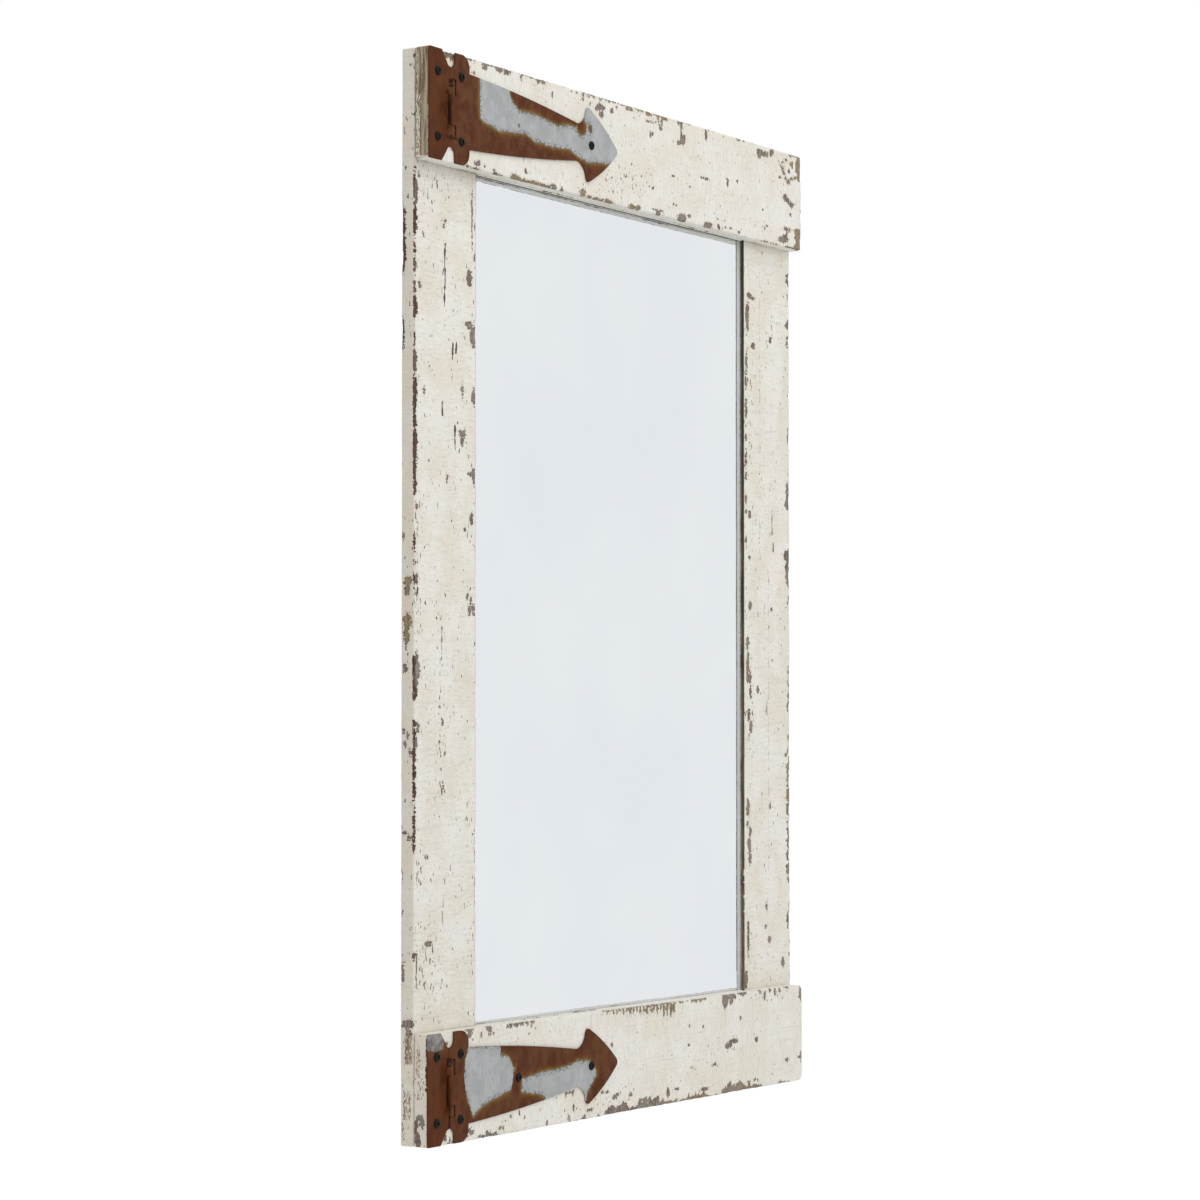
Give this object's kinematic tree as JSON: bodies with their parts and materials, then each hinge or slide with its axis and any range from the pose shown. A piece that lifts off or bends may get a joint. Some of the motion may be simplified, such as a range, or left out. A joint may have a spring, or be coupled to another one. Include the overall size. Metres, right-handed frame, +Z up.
{
  "type": "wall mirror",
  "caption": "Rustic wall mirror in a distressed board frame, with rails laid over the uprights, arrow-headed strap hinges and hanging rings on the back.",
  "frame": {"origin": "in the wall's plane, midway between the pivots of the two hanging rings", "axes": "+Z up, front of the mirror towards -Y, wall behind it towards +Y, +X to the viewer's right"},
  "size_m": [0.7, 0.0409, 1],
  "materials": {
    "painted_boards": "worn cream paint, chipped to bare and stained wood along the edges",
    "rusty_plate": "rust brown with bare galvanised patches",
    "rusty_pin": "dark rust",
    "black_screws": "black, slightly worn",
    "mirror": "silvered float glass",
    "foam": "soft white foam",
    "hardboard": "smooth brown hardboard",
    "yellow_zinc": "yellow zinc plate",
    "bright_zinc": "bright zinc plate",
    "brass_plated": "brass plate, satin",
    "felt": "dark grey soft pad"
  },
  "bodies": {
    "frame": {"left_stile": "painted_boards", "right_stile": "painted_boards", "top_rail": "painted_boards", "bottom_rail": "painted_boards", "top_cross_rail": "painted_boards", "bottom_cross_rail": "painted_boards", "frame_screws": "yellow_zinc", "mirror_glass": "mirror", "foam_sheet": "foam", "backing_board": "hardboard", "backing_screws": "bright_zinc", "top_hinge_leaf": "rusty_plate", "top_hinge_strap": "rusty_plate", "top_hinge_pin": "rusty_pin", "top_hinge_screws": "black_screws", "bottom_hinge_leaf": "rusty_plate", "bottom_hinge_strap": "rusty_plate", "bottom_hinge_pin": "rusty_pin", "bottom_hinge_screws": "black_screws", "left_hanger_plate": "brass_plated", "left_hanger_screws": "bright_zinc", "right_hanger_plate": "brass_plated", "right_hanger_screws": "bright_zinc", "wall_bumpers": "felt"},
    "left_ring": {"left_hanger_ring": "brass_plated"},
    "right_ring": {"right_hanger_ring": "brass_plated"}
  },
  "joints": [
    {"name": "left_ring_swing", "type": "hinge", "parent": "frame", "child": "left_ring", "pos_m": [-0.3, -0.004, 0], "axis": [1, 0, 0], "range_deg": [0, 180]},
    {"name": "right_ring_swing", "type": "hinge", "parent": "frame", "child": "right_ring", "pos_m": [0.3, -0.004, 0], "axis": [1, 0, 0], "range_deg": [0, 180]}
  ]
}
